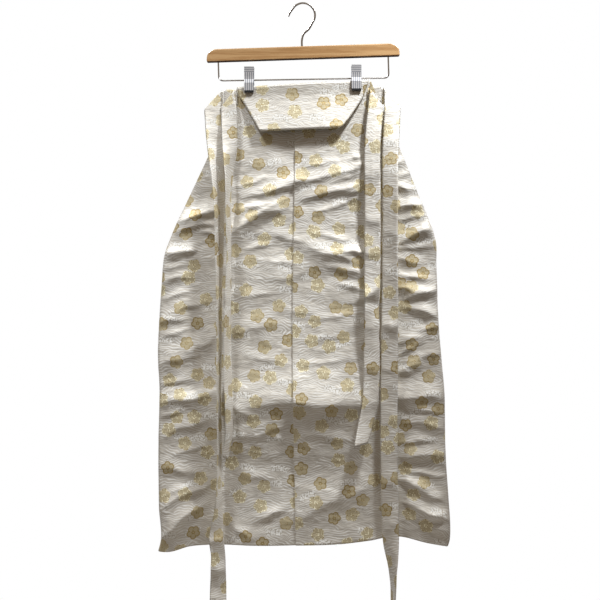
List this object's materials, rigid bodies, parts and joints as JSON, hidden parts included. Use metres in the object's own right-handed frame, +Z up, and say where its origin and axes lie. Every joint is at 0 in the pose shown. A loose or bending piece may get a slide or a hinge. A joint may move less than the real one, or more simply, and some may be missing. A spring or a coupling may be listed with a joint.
{
  "type": "hakama trousers on a clip hanger",
  "caption": "Divided pleated trousers of ivory brocade with a stiff back board and long waist ties, hung by the waist from a wooden bar hanger with sprung clips.",
  "frame": {"origin": "inside top of the hanger's hook, where it rests on a rail", "axes": "+Z up along the hanging garment, +X to the right of someone facing the garment's back, +Y away from them"},
  "size_m": [0.5373, 0.0669, 1.1516],
  "materials": {
    "brocade": "ivory satin brocade with gilt blossoms and fine wave lines",
    "bar_wood": "clear varnished light wood",
    "hook_wire": "bright plated wire",
    "clip_chrome": "pressed and ribbed",
    "pad_rubber": "matt black"
  },
  "bodies": {
    "root": {"hanger_hook": "hook_wire", "hanger_bar": "bar_wood", "hanger_rod": "hook_wire", "clip_left": "clip_chrome", "clip_pad_left_outer": "pad_rubber", "clip_pad_left_inner": "pad_rubber", "clip_right": "clip_chrome", "clip_pad_right_outer": "pad_rubber", "clip_pad_right_inner": "pad_rubber", "back_board": "brocade", "back_panel_left": "brocade", "back_panel_right": "brocade", "front_panel_left": "brocade", "front_panel_right": "brocade", "inner_leg_left": "brocade", "inner_leg_right": "brocade", "front_waistband": "brocade", "front_tie_left": "brocade", "front_tie_right": "brocade", "back_tie_left": "brocade", "back_tie_right": "brocade"}
  },
  "joints": []
}
